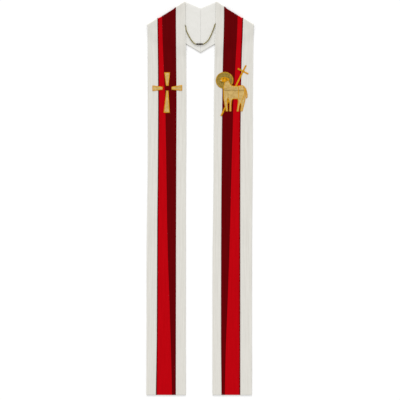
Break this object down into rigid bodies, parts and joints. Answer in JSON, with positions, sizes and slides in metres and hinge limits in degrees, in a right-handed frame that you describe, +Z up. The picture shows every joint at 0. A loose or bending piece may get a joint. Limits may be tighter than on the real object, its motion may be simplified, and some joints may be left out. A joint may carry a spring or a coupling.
{
  "type": "clerical stole",
  "caption": "Clerical stole laid flat, with ivory strips, dark and bright red bands, gold embroidery and a hanger chain at the neck.",
  "frame": {"origin": "bottom centre of the bounding box, on the surface that the stole lies on", "axes": "+Y from the hems to the neck, +X across the stole to its right-hand front as seen from above, +Z up out of the cloth"},
  "size_m": [0.3771, 1.3779, 0.0067],
  "materials": {
    "ivory_cloth": "matte ivory wool-blend cloth with a fine lengthwise rib",
    "lining_cloth": "smooth ivory satin lining with a soft sheen",
    "bright_red_cloth": "matte bright red cloth",
    "dark_red_cloth": "matte dark red cloth",
    "gold_brocade": "pale gold brocade with metallic threads",
    "gold_satin": "orange gold satin stitch with a silky sheen",
    "chain_brass": "antique brass chain",
    "dark_bronze": "dark oxidised bar"
  },
  "bodies": {
    "root": {"ivory_neck_strip_left": "ivory_cloth", "dark_band_left": "dark_red_cloth", "bright_band_left": "bright_red_cloth", "edging_left": "dark_red_cloth", "ivory_outer_strip_left": "ivory_cloth", "lining_left": "lining_cloth", "lining_back_left": "lining_cloth", "ivory_neck_strip_right": "ivory_cloth", "dark_band_right": "dark_red_cloth", "bright_band_right": "bright_red_cloth", "edging_right": "dark_red_cloth", "ivory_outer_strip_right": "ivory_cloth", "lining_right": "lining_cloth", "lining_back_right": "lining_cloth", "cross_head": "gold_brocade", "cross_foot": "gold_brocade", "cross_arm_outer": "gold_brocade", "cross_arm_inner": "gold_brocade", "lamb_halo": "gold_satin", "lamb_staff": "gold_satin", "lamb_tail": "gold_brocade", "lamb_body": "gold_brocade", "lamb_head": "gold_satin", "chain_left": "chain_brass", "chain_right": "chain_brass", "chain_bar": "dark_bronze"}
  },
  "joints": []
}
